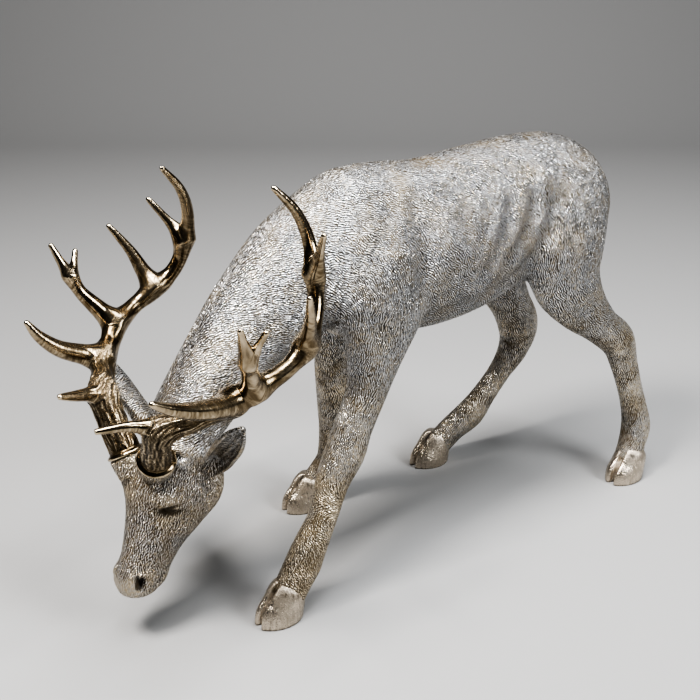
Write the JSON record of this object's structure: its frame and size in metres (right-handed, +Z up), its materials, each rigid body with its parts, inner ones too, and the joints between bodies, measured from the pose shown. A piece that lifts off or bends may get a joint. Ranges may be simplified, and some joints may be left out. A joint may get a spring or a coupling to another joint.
{
  "type": "deer statue",
  "caption": "Cast metal statue of a grazing stag in mid-step with its muzzle near the ground, branching antlers and a finely carved coat.",
  "frame": {"origin": "middle of the outline on the floor, in the plane of the hoof soles", "axes": "+X from the head towards the rump, +Y towards the stag's right side, +Z up"},
  "size_m": [0.6165, 0.2786, 0.3884],
  "materials": {
    "antique_silver": "cast, antiqued silver with warm rubbed highlights and a brown-black patina in the carved coat; hooves and muzzle smoother",
    "rubbed_brass": "polished aged brass, grooved and dark like bark near the foot, smooth and bright towards the tips"
  },
  "bodies": {
    "root": {"stag": "antique_silver", "antler_left": "rubbed_brass", "antler_right": "rubbed_brass"}
  },
  "joints": []
}
